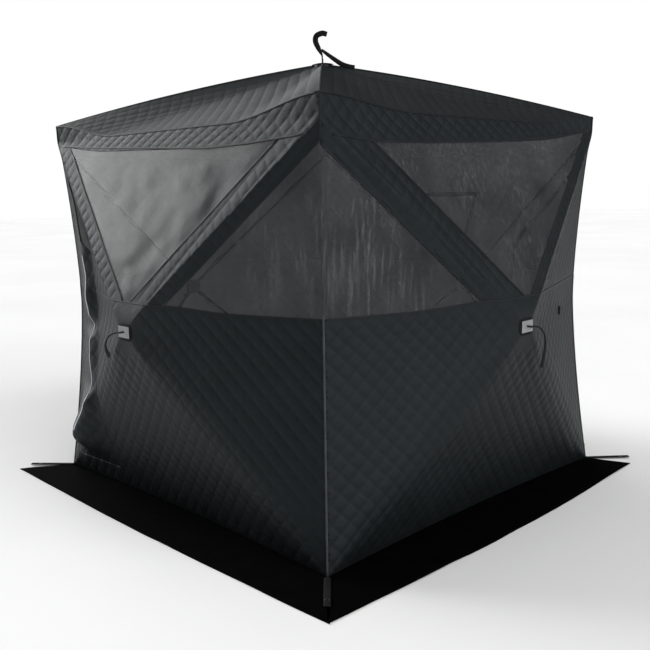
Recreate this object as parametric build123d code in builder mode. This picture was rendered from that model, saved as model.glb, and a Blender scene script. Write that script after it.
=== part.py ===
"""Pop-up ice fishing hut: a quilted fabric cube held open by five sprung hubs, with film windows.

Millimetres, +Z up, origin on the ground at the middle of the hut. The front wall faces -Y and the right
wall faces +X. Left and right on a wall are as seen from outside it.
"""

import os
from math import sqrt
from types import SimpleNamespace

from build123d import *

# Overall form of the fabric shell
base_side = 1800.0  # ground corner to ground corner
corner_lean = 15.0  # how far a top corner stands in from its ground corner, along each wall
corner_height = 1650.0
roof_rise = 260.0  # from the top corners to the flat top of the roof hub patch
hub_height_share = 0.485  # height of the wall hubs, as a share of the corner height
hub_reach = 215.0  # how far a wall hub stands out from the wall's base line
tip_margin = 16.0  # how far the folds would run on past a hub's flat patch before meeting
pole_drop = 80.0  # from a top corner down to where the wall poles end
corner_bow = 80.0  # how far a corner edge is pulled in at hub height, along the diagonal
eave_sag = 70.0
eave_shoulder_share = 0.15  # share of the eave's length in which it drops from a corner to the full sag
ridge_rise = 30.0  # how far a roof ridge bows up at its middle

# Sheet thicknesses and seams
fabric = 4.0
film = 1.0
seam_gap = 0.5
rest_gap = 0.3  # air left between parts that rest on each other

# Zones of a wall
sill_lift = 115.0  # from the wall hubs up to the lower edge of the windows
valance_depth = 140.0  # from the top corners down to the upper edge of the windows
band_width = 68.0  # sleeve strip on each side of a pole line

# Door flap in the left side of the front wall
door_corner_strip = 40.0  # fixed strip between the sewn edge and the corner, at hub height
door_width = 366.0  # from the sewn edge to the zipped edge
door_sill = 100.0
door_gap = 6.0  # zip slot round the free edges
door_fold_lap = 3.0  # how far the sheets of the flap run into each other at their folds

# Snow skirt
skirt_width = 215.0
skirt_thickness = 2.0
skirt_tuck = 14.0  # how far the skirt runs in under the wall

# Frame
pole_radius = 5.5
socket_fit = 0.1
socket_wall = 3.5
socket_reach = 82.0  # from a hub's centre to the mouth of its pole sockets
socket_seat = 36.0  # from a hub's centre to the pole's end
hub_radius = 38.0
hub_depth = 34.0
stud_radius = 4.0
stud_length = 24.0  # stands out in front of a hub's flat patch
cup_radius = 18.0  # round cup in each corner that takes the pole tips
cup_dip_share = 1.15  # fall of the line on which a wall pole's cup sits in from its corner

# Patches, straps and trim
patch_margin = 3.0
reflector_width = 76.0
reflector_height = 46.0
reflector_thickness = 1.0
stud_hole_slack = 0.4
strap_width = 25.0
strap_thickness = 3.0
strap_standoff = 12.0  # strap's back, in front of the hub patch
strap_side_run = 62.0
strap_drop = 165.0
strap_bend = 30.0
roof_strap_upright = 120.0
roof_strap_lean = 34.0
roof_strap_hook = 62.0
roof_strap_leg = 150.0
roof_strap_leg_drop = 22.0
roof_strap_bend = 18.0
roof_strap_heel = 24.0  # from the stud to the foot of the upright
tab_width = 25.0
tab_start = 5.0  # from the corner of the wall
tab_length = 212.0
tab_point = 12.0
tab_thickness = 3.0
eyelet_radius = 5.5
eyelet_inset = 42.0  # eyelet centre from where the tab's point begins
eyelet_clearance = 3.0  # how much wider the skirt's hole is than the eyelet
vent_top_width = 406.0
vent_bottom_width = 110.0
vent_drop = 198.0  # below the window's upper edge
vent_sill = 135.0  # above the window's lower edge
zip_width = 22.0
zip_thickness = 1.5

WALL_TURNS = {"front": 0, "right": 90, "back": 180, "left": 270}
STRAP_SIDES = {"front": -1, "right": 1, "back": -1, "left": 1}
WINDOW_WALLS = ("front", "right")  # the corner between them has a window too
DOOR_WALL = "front"
VENT_WALL = "back"

half_base = base_side / 2
half_eave = half_base - corner_lean
apex_height = corner_height + roof_rise
hub_height = corner_height * hub_height_share
seam_height = hub_height + sill_lift
window_top = corner_height - valance_depth
pole_height = corner_height - pole_drop
vent_top = window_top - vent_drop
vent_bottom = seam_height + vent_sill
ground_level = skirt_thickness + rest_gap  # lowest edge of the walls
hub_flat = half_base + hub_reach  # outer face of a wall's hub patch
mid_half = half_base - corner_lean * hub_height_share - corner_bow / sqrt(2)
pole_half = half_eave + (mid_half - half_eave) * pole_drop / (corner_height - hub_height)


def unit(vector):
    return vector.normalized()


def turned(x, y, z, turn):
    return Vector(x, y, z).rotate(Axis.Z, turn)


def wall_points(turn, has_window):
    """Corner, fold and eave points of one wall's outer skin."""
    tip_y = -(hub_flat + tip_margin)
    lean = (-pole_half - tip_y) / (pole_height - hub_height)
    eave_x = half_eave * (1 - 2 * eave_shoulder_share)
    eave_z = corner_height - eave_sag
    eave_y = -pole_half + (eave_z - pole_height) * lean
    ridge_half = half_eave / 2
    ridge_z = (corner_height + apex_height) / 2 + ridge_rise

    def at(x, y, z):
        return turned(x, y, z, turn)

    return SimpleNamespace(
        turn=turn,
        has_window=has_window,
        tip=at(0, tip_y, hub_height),
        top_left=at(-half_eave, -half_eave, corner_height),
        top_right=at(half_eave, -half_eave, corner_height),
        pole_left=at(-pole_half, -pole_half, pole_height),
        pole_right=at(pole_half, -pole_half, pole_height),
        mid_left=at(-mid_half, -mid_half, hub_height),
        mid_right=at(mid_half, -mid_half, hub_height),
        base_left=at(-half_base, -half_base, ground_level),
        base_right=at(half_base, -half_base, ground_level),
        eave_left=at(-eave_x, eave_y, eave_z),
        eave_right=at(eave_x, eave_y, eave_z),
        ridge_left=at(-ridge_half, -ridge_half, ridge_z),
        ridge_right=at(ridge_half, -ridge_half, ridge_z),
        outward=at(0, -1, 0),
        across=at(1, 0, 0),
        hub_face=at(0, -hub_flat, hub_height),
        hub_centre=at(0, -(hub_flat - fabric - rest_gap - hub_depth / 2), hub_height),
    )


WALLS = {name: wall_points(turn, name in WINDOW_WALLS) for name, turn in WALL_TURNS.items()}
ROOF_TIP = Vector(0, 0, apex_height + tip_margin)
ROOF_HUB_CENTRE = Vector(0, 0, apex_height - fabric - rest_gap - hub_depth / 2)


# Flat facets of the skin. Each outline runs anticlockwise as seen from outside.


def wall_facets(wall):
    return {
        "gusset_left": [wall.top_left, wall.pole_left, wall.eave_left],
        "gusset_right": [wall.top_right, wall.eave_right, wall.pole_right],
        "top": [wall.pole_left, wall.tip, wall.pole_right, wall.eave_right, wall.eave_left],
        "upper_left": [wall.pole_left, wall.mid_left, wall.tip],
        "upper_right": [wall.pole_right, wall.tip, wall.mid_right],
        "lower_left": [wall.mid_left, wall.base_left, wall.tip],
        "lower_right": [wall.mid_right, wall.tip, wall.base_right],
        "bottom": [wall.base_left, wall.base_right, wall.tip],
    }


def roof_facets(wall):
    return {
        "corner_left": [wall.top_left, wall.eave_left, wall.ridge_left],
        "side_left": [wall.eave_left, ROOF_TIP, wall.ridge_left],
        "middle": [wall.eave_left, wall.eave_right, ROOF_TIP],
        "side_right": [wall.eave_right, wall.ridge_right, ROOF_TIP],
        "corner_right": [wall.eave_right, wall.top_right, wall.ridge_right],
    }


def outward_normal(outline):
    return unit((outline[1] - outline[0]).cross(outline[2] - outline[0]))


SKIN = [f for w in WALLS.values() for f in (*wall_facets(w).values(), *roof_facets(w).values())]


def same(a, b):
    return (a - b).length < seam_gap


def neighbour_across(a, b):
    """The facet on the other side of the fold from a to b, or None at a free edge."""
    for facet in SKIN:
        for start, end in edges_of(facet):
            if same(start, b) and same(end, a):
                return facet
    return None


def clip(outline, point, toward):
    """The part of a flat outline that lies on the side of a plane that toward points to."""
    kept = []
    for a, b in edges_of(outline):
        side_a = (a - point).dot(toward)
        side_b = (b - point).dot(toward)
        if side_a >= 0:
            kept.append(a)
        if side_a * side_b < 0:
            kept.append(a + (b - a) * (side_a / (side_a - side_b)))
    return kept


def inward_of(outline, a, b):
    """Direction in the facet's plane from its edge a to b towards its middle."""
    return unit(outward_normal(outline).cross(b - a))


def cut_back(outline, facet, a, b, distance):
    """Takes a strip of that width off an outline along the facet's edge from a to b."""
    toward = inward_of(facet, a, b)
    return clip(outline, a + toward * distance, toward)


def strip_along(outline, facet, a, b, width):
    """Keeps only a strip of that width along the facet's edge from a to b."""
    toward = inward_of(facet, a, b)
    return clip(outline, a + toward * width, -toward)


def fold_inset(facet, a, b):
    """How far a sheet is drawn in at its edge from a to b, so that it doesn't cross the next sheet."""
    other = neighbour_across(a, b)
    if other is None:
        return 0
    own, across = outward_normal(facet), outward_normal(other)
    if own.cross(across).dot(b - a) <= 0:
        return seam_gap / 2
    half_cosine = (own + across).length / 2
    return seam_gap / 2 + fabric * sqrt(max(0, 1 - half_cosine**2)) / half_cosine


def edges_of(facet):
    return list(zip(facet, facet[1:] + facet[:1]))


def drawn_in(facet, insets):
    """A facet's outline with each edge moved inwards by its inset."""
    inward = [inward_of(facet, a, b) for a, b in edges_of(facet)]
    outline = []
    for i, point in enumerate(facet):
        before, after = inward[i - 1], inward[i]
        turn = before.dot(after)
        share_before = (insets[i - 1] - turn * insets[i]) / (1 - turn**2)
        share_after = (insets[i] - turn * insets[i - 1]) / (1 - turn**2)
        outline.append(point + before * share_before + after * share_after)
    return outline


def mitred(facet):
    """A facet's outline drawn in at its folds."""
    return drawn_in(facet, [fold_inset(facet, a, b) for a, b in edges_of(facet)])


def above(outline, height):
    return clip(outline, Vector(0, 0, height + seam_gap / 2), Vector(0, 0, 1))


def below(outline, height):
    return clip(outline, Vector(0, 0, height - seam_gap / 2), Vector(0, 0, -1))


def off_hub(outline, wall):
    """Leaves out the flat patch over a wall's hub."""
    return clip(outline, wall.hub_face, -wall.outward)


def off_corners(outline, wall, left, right):
    """Cuts back an outline's two points that meet the next walls' at a corner."""
    for corner, side in ((left, 1), (right, -1)):
        along = unit(wall.across * side + wall.outward)
        outline = clip(outline, corner + along * (fabric + seam_gap), along)
    return outline


def off_roof_hub(outline):
    return clip(outline, Vector(0, 0, apex_height), Vector(0, 0, -1))


def flat_points(outline, plane):
    local = [plane.to_local_coords(p) for p in outline]
    return [(p.X, p.Y) for p in local]


def add_sheet(outline, thickness):
    """Adds a flat sheet to the part being built, with its outer face on the outline."""
    plane = Plane(origin=outline[0], x_dir=outline[1] - outline[0], z_dir=outward_normal(outline))
    with BuildSketch(plane) as sheet:
        Polygon(*flat_points(outline, plane), align=None)
    extrude(sheet.sketch, amount=-thickness)


def write(name, piece):
    piece.label = name
    export_step(piece, f"parts/{name}.step")


# Fabric and film of the four walls


def make_lower_wall(wall, has_door):
    """Quilted lower wall: six sheets folded about the hub, or more where the doorway splits them."""
    facets = {name: off_hub(mitred(facet), wall) for name, facet in wall_facets(wall).items()}
    outlines = {
        "top": below(facets["top"], seam_height),
        "upper_right": below(facets["upper_right"], seam_height),
        "lower_right": facets["lower_right"],
        "upper_left": below(facets["upper_left"], seam_height),
        "lower_left": facets["lower_left"],
        "bottom": off_corners(facets["bottom"], wall, wall.base_left, wall.base_right),
    }
    with BuildPart() as lower_wall:
        for name, outline in outlines.items():
            split = has_door and name in DOOR_FACETS
            for piece in beside_door(outline, wall, name).values() if split else [outline]:
                add_sheet(piece, fabric)
    return lower_wall.part


def make_band(wall):
    """Sleeve strips along the two upper pole lines of a wall with a window."""
    facets = wall_facets(wall)
    outlines = {name: above(off_hub(mitred(facet), wall), seam_height) for name, facet in facets.items()}
    outlines["top"] = off_corners(outlines["top"], wall, wall.pole_left, wall.pole_right)
    sides = {
        "top": [(wall.pole_left, wall.tip), (wall.tip, wall.pole_right)],
        "upper_left": [(wall.tip, wall.pole_left)],
        "upper_right": [(wall.pole_right, wall.tip)],
    }
    with BuildPart() as band:
        for name, edges in sides.items():
            for a, b in edges:
                strip = strip_along(outlines[name], facets[name], a, b, band_width - seam_gap / 2)
                add_sheet(strip, fabric)
    return band.part


def between_sleeves(outline, wall):
    """Cuts a sheet of the top facet back from the sleeve strips, or from the corners if there are none."""
    if not wall.has_window:
        return off_corners(outline, wall, wall.pole_left, wall.pole_right)
    for a, b in ((wall.pole_left, wall.tip), (wall.tip, wall.pole_right)):
        outline = cut_back(outline, wall_facets(wall)["top"], a, b, band_width + seam_gap / 2)
    return outline


def top_sheet_outline(wall):
    facet = off_hub(mitred(wall_facets(wall)["top"]), wall)
    return between_sleeves(below(above(facet, seam_height), window_top), wall)


def make_top_sheet(wall):
    """Film window over a wall's hub, or a quilted panel in its place."""
    with BuildPart() as sheet:
        add_sheet(top_sheet_outline(wall), film if wall.has_window else fabric)
    return sheet.part


def make_valance(wall):
    """Quilted strip under the eave, with a gusset up to each top corner."""
    facets = wall_facets(wall)
    with BuildPart() as valance:
        add_sheet(between_sleeves(above(mitred(facets["top"]), window_top), wall), fabric)
        for side in ("left", "right"):
            add_sheet(mitred(facets[f"gusset_{side}"]), fabric)
    return valance.part


def side_sheet_outline(wall, side):
    facet = wall_facets(wall)[f"upper_{side}"]
    a, b = (wall.tip, wall.pole_left) if side == "left" else (wall.pole_right, wall.tip)
    outline = above(off_hub(mitred(facet), wall), seam_height)
    return cut_back(outline, facet, a, b, band_width + seam_gap / 2) if wall.has_window else outline


def make_corner_sheets(left_wall, right_wall, thickness, has_door):
    """Window or panel that turns round a corner, from a wall's right side to the next wall's left side."""
    outline = side_sheet_outline(right_wall, "left")
    pieces = beside_door(outline, right_wall, "upper_left").values() if has_door else [outline]
    with BuildPart() as sheets:
        for piece in (side_sheet_outline(left_wall, "right"), *pieces):
            add_sheet(piece, thickness)
    return sheets.part


# Door flap in the front wall's left side

DOOR_FACETS = ("upper_left", "lower_left", "bottom")


def door_lines(wall, name):
    """Bounds of the flap in one facet: a point, the direction into the flap and the slot's width."""
    sewn = wall.hub_face - wall.across * (mid_half - door_corner_strip)
    zipped = sewn + wall.across * door_width
    lines = {
        "sewn": (sewn, wall.across, rest_gap),
        "zipped": (zipped, -wall.across, door_gap),
    }
    if name == "upper_left":
        toward = inward_of(wall_facets(wall)[name], wall.tip, wall.pole_left)
        lines["top"] = (wall.pole_left + toward * (band_width + door_gap), toward, door_gap)
    else:
        lines["sill"] = (Vector(0, 0, door_sill), Vector(0, 0, 1), door_gap)
    return lines


def beside_door(outline, wall, name):
    """What is left of an outline round the doorway, by edge, as sheets that don't touch each other."""
    pieces = {}
    rest = outline
    for edge, (point, toward, slot) in door_lines(wall, name).items():
        pieces[edge] = clip(rest, point - toward * slot, -toward)
        rest = clip(rest, point - toward * (slot - seam_gap), toward)
    return {edge: piece for edge, piece in pieces.items() if len(piece) > 2}


def door_sheet_outline(wall, name):
    """One sheet of the flap, run a little past its folds so that the flap's sheets join."""
    facets = wall_facets(wall)
    own = [facets[n] for n in DOOR_FACETS]
    laps = [door_fold_lap if neighbour_across(a, b) in own else 0 for a, b in edges_of(facets[name])]
    outline = drawn_in(facets[name], [-lap for lap in laps])
    for point, toward, _ in door_lines(wall, name).values():
        outline = clip(outline, point, toward)
    return outline


def make_door_flap(wall):
    with BuildPart() as flap:
        for name in DOOR_FACETS:
            add_sheet(door_sheet_outline(wall, name), fabric)
    return flap.part


# Roof


def make_roof_panel(wall):
    """One side of the roof: five sheets between the crowned ridges and the sagging eave."""
    with BuildPart() as panel:
        for facet in roof_facets(wall).values():
            add_sheet(off_roof_hub(mitred(facet)), fabric)
    return panel.part


# Flat patches over the hubs


def on_flat(tip, point, margin_axis):
    """Where the fold from a tip to a point crosses the hub's flat patch."""
    fall = (tip - point).dot(margin_axis)
    return tip + (point - tip) * (tip_margin / fall)


def wall_patch_outline(wall):
    around = [
        wall.pole_left, wall.mid_left, wall.base_left, wall.base_right, wall.mid_right, wall.pole_right
    ]
    return [on_flat(wall.tip, p, wall.outward) for p in around]


def roof_patch_outline():
    around = []
    for wall in WALLS.values():
        around += [wall.eave_left, wall.eave_right, wall.ridge_right]
    return [on_flat(ROOF_TIP, p, Vector(0, 0, 1)) for p in around]


def add_patch(outline, face, outward):
    plane = Plane(origin=face, x_dir=outline[1] - outline[0], z_dir=outward)
    with BuildSketch(plane) as patch:
        Polygon(*flat_points(outline, plane), align=None)
        offset(amount=-patch_margin, mode=Mode.REPLACE)
        Circle(stud_radius + stud_hole_slack, mode=Mode.SUBTRACT)
    extrude(patch.sketch, amount=fabric, dir=-plane.z_dir)


def make_hub_patches():
    with BuildPart() as patches:
        for wall in WALLS.values():
            add_patch(wall_patch_outline(wall), wall.hub_face, wall.outward)
        add_patch(roof_patch_outline(), Vector(0, 0, apex_height), Vector(0, 0, 1))
    return patches.part


def make_hub_reflectors():
    """Grey reflective plates on the four wall hub patches."""
    with BuildPart() as reflectors:
        for wall in WALLS.values():
            face = wall.hub_face + wall.outward * rest_gap
            with BuildSketch(Plane(origin=face, x_dir=wall.across, z_dir=wall.outward)):
                Rectangle(reflector_width, reflector_height)
                Circle(stud_radius + stud_hole_slack, mode=Mode.SUBTRACT)
            extrude(amount=reflector_thickness)
    return reflectors.part


# Sprung frame


def distance_from_skin(direction, facets):
    """How far to go from the corner that facets share for a cup to rest against the nearest sheet."""
    depth = fabric + cup_radius + rest_gap
    return max(depth / -outward_normal(f).dot(direction) for f in facets)


def facets_at(corner):
    return [f for f in SKIN if any(same(p, corner) for p in f)]


def cup_centre(corner, direction, facets):
    """Centre of the cup in a corner that facets share, along a direction into the hut."""
    along = unit(direction)
    return corner + along * distance_from_skin(along, facets)


def base_cup_centre(wall):
    """Centre of the cup in the wall's bottom right corner, resting on the skirt."""
    corner = wall.base_right
    centre = cup_centre(corner, Vector(-corner.X, -corner.Y, 0), facets_at(corner))
    return Vector(centre.X, centre.Y, ground_level + cup_radius)


def roof_cup_centre(wall):
    corner = wall.top_right
    return cup_centre(corner, Vector(-corner.X, -corner.Y, -half_eave), facets_at(corner))


def top_cup_centre(wall):
    corner = wall.pole_right
    below_eave = [f for f in facets_at(corner) if f not in facets_at(wall.top_right)]
    return cup_centre(corner, Vector(-corner.X, -corner.Y, -pole_half * cup_dip_share), below_eave)


ROOF_CUPS = {name: roof_cup_centre(wall) for name, wall in WALLS.items()}
TOP_CUPS = {name: top_cup_centre(wall) for name, wall in WALLS.items()}
BASE_CUPS = {name: base_cup_centre(wall) for name, wall in WALLS.items()}
WALL_ON_LEFT = {"front": "left", "right": "front", "back": "right", "left": "back"}


def wall_pole_ends(name):
    before = WALL_ON_LEFT[name]
    return [TOP_CUPS[name], TOP_CUPS[before], BASE_CUPS[before], BASE_CUPS[name]]


def add_rod(start, end, radius, mode=Mode.ADD):
    with BuildSketch(Plane(origin=start, z_dir=end - start)) as section:
        Circle(radius)
    extrude(section.sketch, amount=(end - start).length, mode=mode)


def make_poles(ends_by_hub):
    """Fibreglass poles, four to a hub, from the hub's sockets to the corner cups."""
    with BuildPart() as poles:
        for centre, ends in ends_by_hub:
            for end in ends:
                along = unit(end - centre)
                add_rod(centre + along * socket_seat, end - along * (cup_radius + rest_gap), pole_radius)
    return poles.part


def make_hub(centre, outward, ends):
    """Hub block with four pole sockets and a stud through the fabric for the pull strap."""
    front = centre + outward * (hub_depth / 2)
    back = centre - outward * (hub_depth / 2)
    bore = pole_radius + socket_fit
    with BuildPart() as hub:
        add_rod(back, front, hub_radius)
        add_rod(centre, front + outward * (fabric + rest_gap + stud_length), stud_radius)
        for end in ends:
            add_rod(centre, centre + unit(end - centre) * socket_reach, bore + socket_wall)
        for end in ends:
            along = unit(end - centre)
            start = centre + along * (socket_seat - rest_gap)
            add_rod(start, centre + along * (socket_reach + socket_wall), bore, mode=Mode.SUBTRACT)
    return hub.part


def make_cups(centres):
    with BuildPart() as cups:
        for centre in centres:
            with Locations(centre):
                Sphere(cup_radius)
    return cups.part


# Snow skirt, ground tabs and pull straps


def eyelet_centre(wall):
    """Eyelet of the ground tab at the wall's right-hand corner, on the ground."""
    corner = Vector(wall.base_right.X, wall.base_right.Y, 0)
    return corner + unit(corner) * (tab_length - eyelet_inset)


def make_skirt(wall, wall_on_left):
    """Flat strip on the ground along one wall, mitred at the corners."""
    inner = half_base - skirt_tuck
    outer = half_base + skirt_width
    with BuildPart() as skirt:
        with BuildSketch(Plane(origin=(0, 0, 0), x_dir=wall.across, z_dir=(0, 0, 1))):
            Polygon(
                (-(outer - seam_gap), -outer),
                (outer - seam_gap, -outer),
                (inner - seam_gap, -inner),
                (-(inner - seam_gap), -inner),
                align=None,
            )
        extrude(amount=skirt_thickness)
        for end in (wall, wall_on_left):
            with BuildSketch(Plane(origin=eyelet_centre(end))):
                Circle(eyelet_radius + eyelet_clearance)
            extrude(amount=skirt_thickness, mode=Mode.SUBTRACT)
    return skirt.part


def make_ground_tabs():
    """Webbing tab with an eyelet at each ground corner, lying on the skirt."""
    with BuildPart() as tabs:
        for wall in WALLS.values():
            corner = Vector(wall.base_right.X, wall.base_right.Y, skirt_thickness + rest_gap)
            out = unit(Vector(corner.X, corner.Y, 0))
            with BuildSketch(Plane(origin=corner, x_dir=out, z_dir=(0, 0, 1))):
                Polygon(
                    (tab_start, -tab_width / 2),
                    (tab_length, -tab_width / 2),
                    (tab_length + tab_point, 0),
                    (tab_length, tab_width / 2),
                    (tab_start, tab_width / 2),
                    align=None,
                )
                with Locations((tab_length - eyelet_inset, 0)):
                    Circle(eyelet_radius, mode=Mode.SUBTRACT)
            extrude(amount=tab_thickness)
    return tabs.part


def make_wall_straps():
    """Pull strap on each wall hub: out to one side from the stud, then hanging."""
    with BuildPart() as straps:
        for name, wall in WALLS.items():
            side = STRAP_SIDES[name]
            face = wall.hub_face + wall.outward * strap_standoff
            with BuildSketch(Plane(origin=face, x_dir=wall.across, z_dir=wall.outward)):
                with BuildLine():
                    FilletPolyline(
                        (0, 0),
                        (side * strap_side_run, 0),
                        (side * (strap_side_run + strap_bend), -strap_bend),
                        (side * (strap_side_run + strap_bend), -strap_drop),
                        radius=strap_bend / 2,
                    )
                trace(line_width=strap_width)
                Circle(stud_radius + stud_hole_slack, mode=Mode.SUBTRACT)
            extrude(amount=strap_thickness)
    return straps.part


def make_roof_strap():
    """Roof pull strap: a stiff webbing loop, one end up and hooked over, the other down on the roof."""
    foot = apex_height + stud_length + rest_gap
    with BuildPart() as strap:
        with BuildSketch(Plane(origin=(0, 0, foot), x_dir=(1, 1, 0), z_dir=(1, -1, 0))):
            with BuildLine():
                FilletPolyline(
                    (roof_strap_hook - roof_strap_lean, roof_strap_upright),
                    (-roof_strap_lean, roof_strap_upright),
                    (-roof_strap_heel, strap_thickness / 2),
                    (roof_strap_leg / 2, strap_thickness / 2),
                    (roof_strap_leg, -roof_strap_leg_drop),
                    radius=roof_strap_bend,
                )
            trace(line_width=strap_thickness)
        extrude(amount=strap_width / 2, both=True)
    return strap.part


def make_vent_zip(wall):
    """Zip tape round the vent in the back wall's upper panel, on its inside."""
    outline = top_sheet_outline(wall)
    inward = -outward_normal(outline)
    origin = (wall.pole_left + wall.pole_right) / 2 + inward * (fabric + rest_gap)
    plane = Plane(origin=origin, x_dir=wall.across, z_dir=-inward)
    steepness = plane.y_dir.Z

    def level(height):
        return (height - pole_height) / steepness

    with BuildPart() as vent_zip:
        with BuildSketch(plane):
            Polygon(
                (-vent_top_width / 2, level(vent_top)),
                (-vent_bottom_width / 2, level(vent_bottom)),
                (vent_bottom_width / 2, level(vent_bottom)),
                (vent_top_width / 2, level(vent_top)),
                align=None,
            )
            offset(amount=-zip_width, mode=Mode.SUBTRACT)
        extrude(amount=-zip_thickness)
    return vent_zip.part


def main():
    os.makedirs("parts", exist_ok=True)
    for name, wall in WALLS.items():
        before = WALL_ON_LEFT[name]
        has_door = name == DOOR_WALL
        write(f"{name}_lower_wall", make_lower_wall(wall, has_door))
        write(f"{name}_valance", make_valance(wall))
        if wall.has_window:
            write(f"{name}_pole_bands", make_band(wall))
            write(f"{name}_window", make_top_sheet(wall))
        else:
            write(f"{name}_upper_panel", make_top_sheet(wall))
        if (before, name) == WINDOW_WALLS:
            corner_window = make_corner_sheets(WALLS[before], wall, film, has_door)
            write(f"{before}_{name}_corner_window", corner_window)
        else:
            corner_panel = make_corner_sheets(WALLS[before], wall, fabric, has_door)
            write(f"{before}_{name}_corner_panel", corner_panel)
        write(f"{name}_roof_panel", make_roof_panel(wall))
        write(f"{name}_skirt", make_skirt(wall, WALLS[before]))
        write(f"{name}_hub", make_hub(wall.hub_centre, wall.outward, wall_pole_ends(name)))
    roof_ends = list(ROOF_CUPS.values())
    write("roof_hub", make_hub(ROOF_HUB_CENTRE, Vector(0, 0, 1), roof_ends))
    write("roof_poles", make_poles([(ROOF_HUB_CENTRE, roof_ends)]))
    wall_ends = [(wall.hub_centre, wall_pole_ends(name)) for name, wall in WALLS.items()]
    write("wall_poles", make_poles(wall_ends))
    write("corner_cups", make_cups([*ROOF_CUPS.values(), *TOP_CUPS.values(), *BASE_CUPS.values()]))
    write("door_flap", make_door_flap(WALLS[DOOR_WALL]))
    write("hub_patches", make_hub_patches())
    write("hub_reflectors", make_hub_reflectors())
    write("wall_pull_straps", make_wall_straps())
    write("roof_pull_strap", make_roof_strap())
    write("ground_tabs", make_ground_tabs())
    write("vent_zip", make_vent_zip(WALLS[VENT_WALL]))


main()
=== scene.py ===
from math import ceil, cos, exp, floor, pi, radians, sin, sqrt

import bmesh
import bpy
import numpy as np
from mathutils import Matrix, Vector, noise


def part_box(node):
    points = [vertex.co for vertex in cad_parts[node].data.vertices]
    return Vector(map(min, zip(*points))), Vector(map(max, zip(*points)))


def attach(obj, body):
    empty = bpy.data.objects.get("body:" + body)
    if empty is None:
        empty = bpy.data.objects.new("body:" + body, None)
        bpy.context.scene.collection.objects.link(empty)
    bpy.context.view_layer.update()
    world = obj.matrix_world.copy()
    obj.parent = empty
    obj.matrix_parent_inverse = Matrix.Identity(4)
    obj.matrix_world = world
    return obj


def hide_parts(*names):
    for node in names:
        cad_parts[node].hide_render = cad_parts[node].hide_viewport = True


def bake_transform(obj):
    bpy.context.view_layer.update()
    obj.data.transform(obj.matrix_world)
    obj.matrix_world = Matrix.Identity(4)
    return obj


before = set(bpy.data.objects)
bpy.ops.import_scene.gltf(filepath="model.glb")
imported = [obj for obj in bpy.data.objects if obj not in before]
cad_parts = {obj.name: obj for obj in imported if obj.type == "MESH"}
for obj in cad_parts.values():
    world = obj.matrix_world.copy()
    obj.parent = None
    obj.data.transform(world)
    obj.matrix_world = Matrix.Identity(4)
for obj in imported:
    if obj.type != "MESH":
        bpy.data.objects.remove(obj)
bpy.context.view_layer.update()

# Camera, fitted to the photograph
camera_azimuth = radians(45.656)
camera_distance = 4.0233
camera_height = 1.3422
camera_pitch = radians(9.223)
camera_roll = radians(-0.934)
camera_side = -0.0086
camera_lens = 46.5

# Sizes read from the frame, in metres
seam_allowance = 0.003  # how far the CAD panels stop short of their folds
half_base = -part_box("front_lower_wall")[0].x + seam_allowance
half_eave = -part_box("front_roof_panel")[0].y + seam_allowance
corner_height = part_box("front_valance")[1].z + seam_allowance
apex_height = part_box("front_roof_panel")[1].z
hub_height = (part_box("hub_reflectors")[0].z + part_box("hub_reflectors")[1].z) / 2
hub_flat = -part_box("hub_patches")[0].y
seam_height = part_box("front_window")[0].z
panel_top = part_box("back_upper_panel")[1].z
pole_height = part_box("front_pole_bands")[1].z
door_low, door_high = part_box("door_flap")
door_sewn_x, door_zip_x, door_sill = door_low.x, door_high.x, door_low.z
tab_low, tab_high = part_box("ground_tabs")

# Form of the fabric
hub_tip = hub_flat + 0.016  # where the wall's folds would meet
hub_softness = 0.012  # rounding of the fabric over a hub
corner_bow = 0.0566  # pull of a corner edge towards the middle at half height, along each wall
corner_bow_power = 1.5
cup_push = 0.005  # the pole tips press the corner edge out below the eave
cup_push_height = 0.05
base_bow = 0.028
fold_softness = 0.045  # rounding of the folds over the lower poles
sleeve_widths = {  # above and below the pole line, by side
    "front": {-1: (0.066, 0.060), 1: (0.075, 0.048)},
    "right": {-1: (0.095, 0.056), 1: (0.048, 0.050)},
}
window_tops = {  # upper edge of a wall's window or panel, from left to right
    "front": ((-0.92, 1.559), (-0.48, 1.533), (0.31, 1.497), (0.55, 1.504), (0.92, 1.525)),
    "right": (
        (-0.92, 1.524), (-0.646, 1.500), (-0.376, 1.502), (0.005, 1.516), (0.42, 1.5425), (0.92, 1.588),
    ),
    "back": ((-0.92, panel_top), (0.92, panel_top)),
    "left": ((-0.92, panel_top), (0.92, panel_top)),
}
sill_dip = 0.018  # how far the window sill hangs near the corner window
sill_dip_height = 0.12
eave_sags = {"front": 0.068, "right": 0.040, "back": 0.055, "left": 0.055}
eave_shoulder_share = 0.45  # share of the half eave that hangs at the full sag
ridge_crown = 0.020
panel_sag = 0.010
ripple_height = 0.0035
ripple_size = 0.30

# Quilting and cloth
cell = 0.05
cell_steps = (0.0, 0.09, 0.36, 0.64, 0.91)
quilt_depth = 0.0031
quilt_fade = 0.02  # width of the flat margin at a seam
quilt_level = 0.3  # share of the quilting's height that lies below the wall's face
quilt_thickness = 0.003
ground_gap = 0.003  # from the ground to the walls' lower edge
film_step = 0.014
film_inset = 0.0015
film_crease = 0.0022
tape_lift = 0.001  # how far sewn-on strips lie over the cloth
strip_sizes = {  # width and thickness
    "window_binding": (0.007, 0.0012),
    "edge_binding": (0.008, 0.002),
    "piping": (0.008, 0.0035),
    "white_zip": (0.013, 0.0025),
    "top_zip": (0.010, 0.0018),
    "back_zip": (0.022, 0.0018),
    "strap": (0.025, 0.003),
    "toggle": (0.014, 0.006),
}

WALLS = {"front": 0, "right": 90, "back": 180, "left": 270}
NEXT_WALL = {"front": "right", "right": "back", "back": "left", "left": "front"}
WINDOW_WALLS = ("front", "right")


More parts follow.
